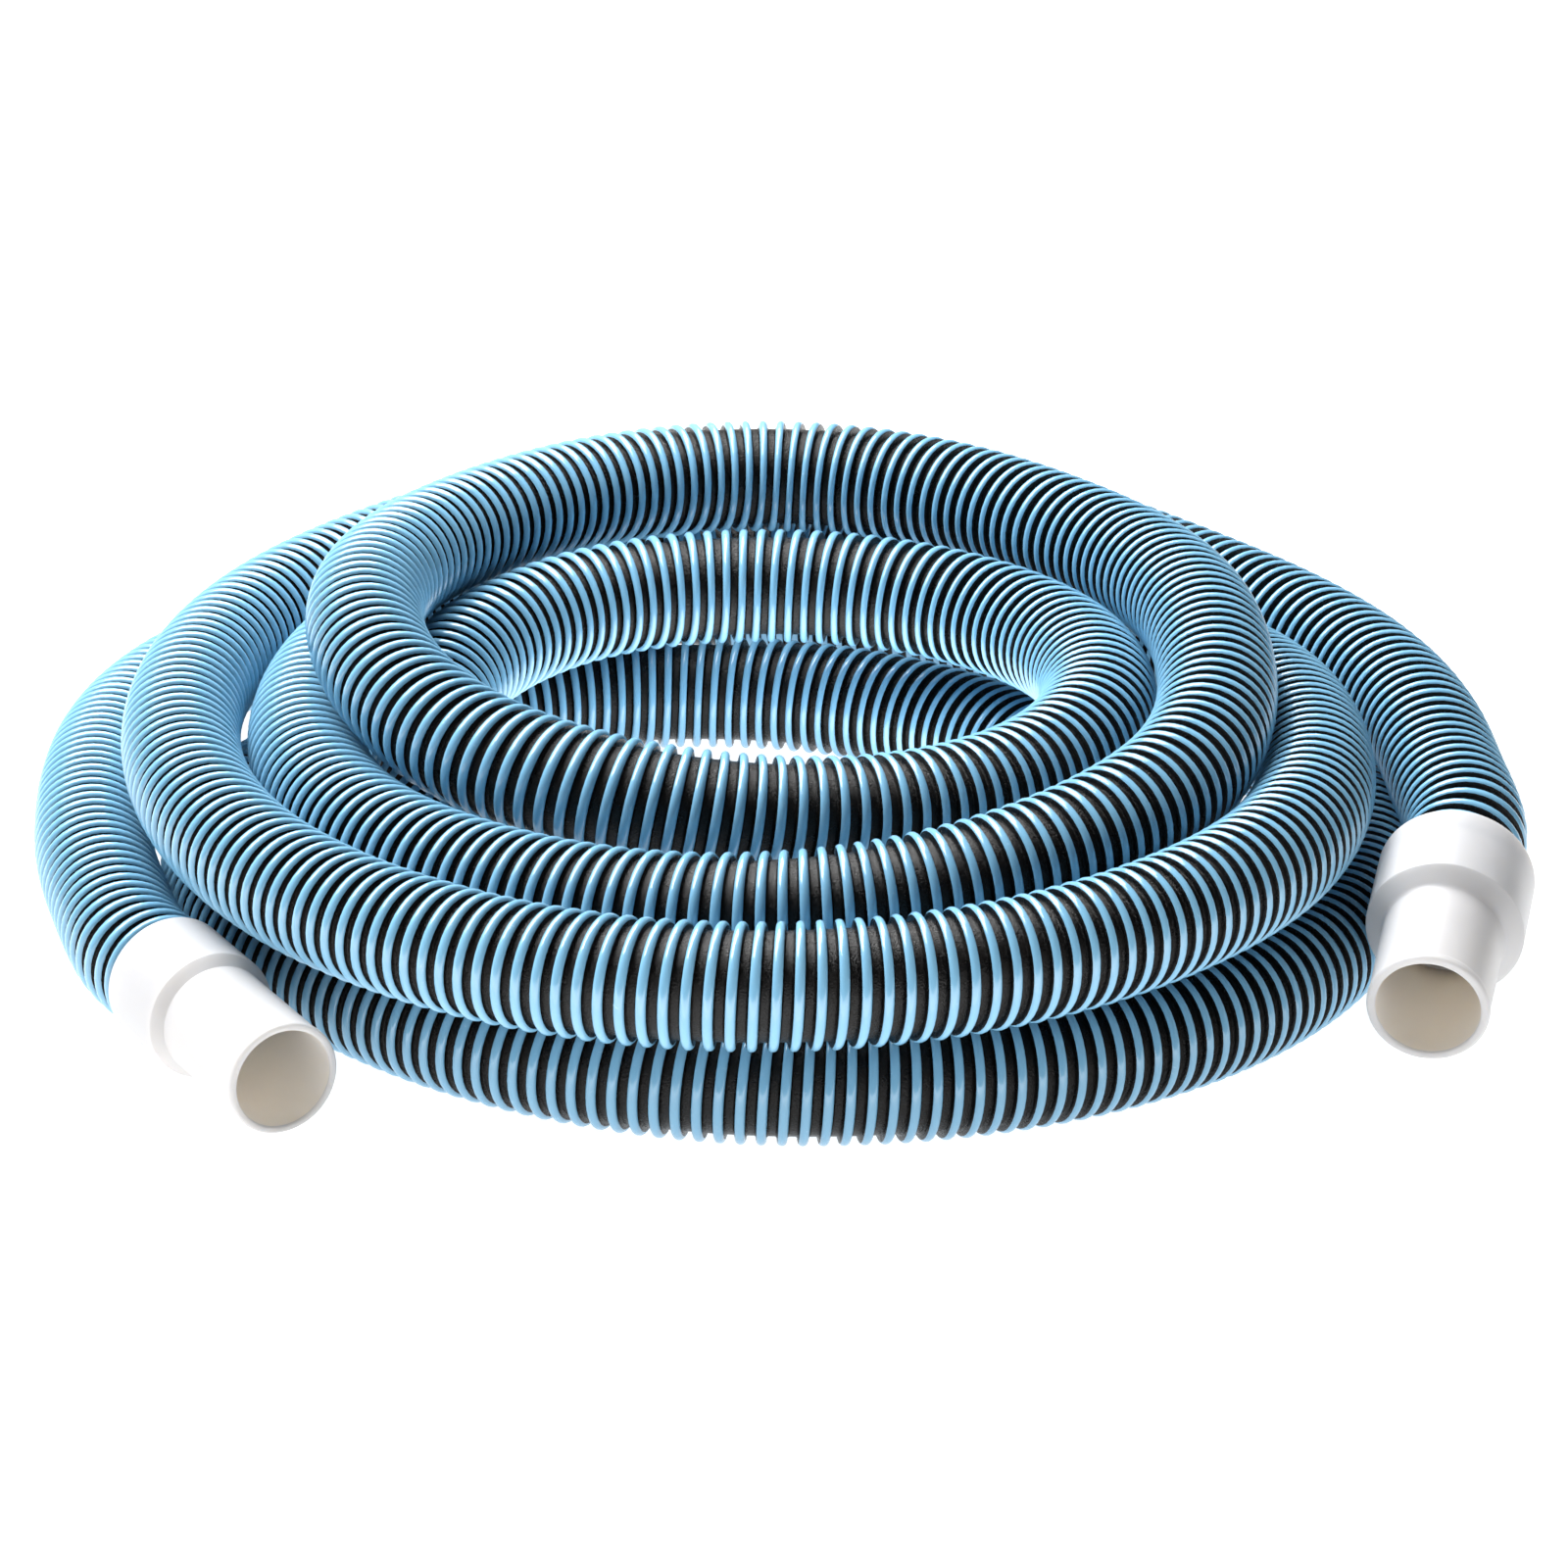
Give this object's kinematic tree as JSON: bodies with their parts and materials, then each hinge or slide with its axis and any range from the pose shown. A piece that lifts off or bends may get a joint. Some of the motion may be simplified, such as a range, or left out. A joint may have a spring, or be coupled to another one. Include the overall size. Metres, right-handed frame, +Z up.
{
  "type": "vacuum hose",
  "caption": "Spiral-wound pool vacuum hose in a loose coil, with a fixed cuff on one end and a swivel cuff on the other.",
  "frame": {"origin": "on the ground, at the middle of the coil's outline, under its bounding box", "axes": "+Z up from the ground that the coil lies on, -Y towards the side that both cuff mouths face, +X from the fixed cuff's side to the swivel cuff's side"},
  "size_m": [0.5952, 0.5806, 0.141],
  "materials": {
    "hose": "light blue bead over a near-black web, satin to glossy",
    "cuff_satin": "satin, moulded",
    "cuff_gloss": "glossy, moulded",
    "sleeve": "plain, moulded"
  },
  "bodies": {
    "hose": {"hose": "hose", "fixed_cuff": "cuff_satin", "threaded_sleeve": "sleeve"},
    "swivel_cuff": {"swivel_cuff": "cuff_gloss"}
  },
  "joints": [
    {"name": "cuff_swivel", "type": "hinge", "parent": "hose", "child": "swivel_cuff", "pos_m": [0.26738, -0.1133, 0.05387], "axis": [-0.2079, -0.9617, -0.1788], "continuous": true}
  ]
}
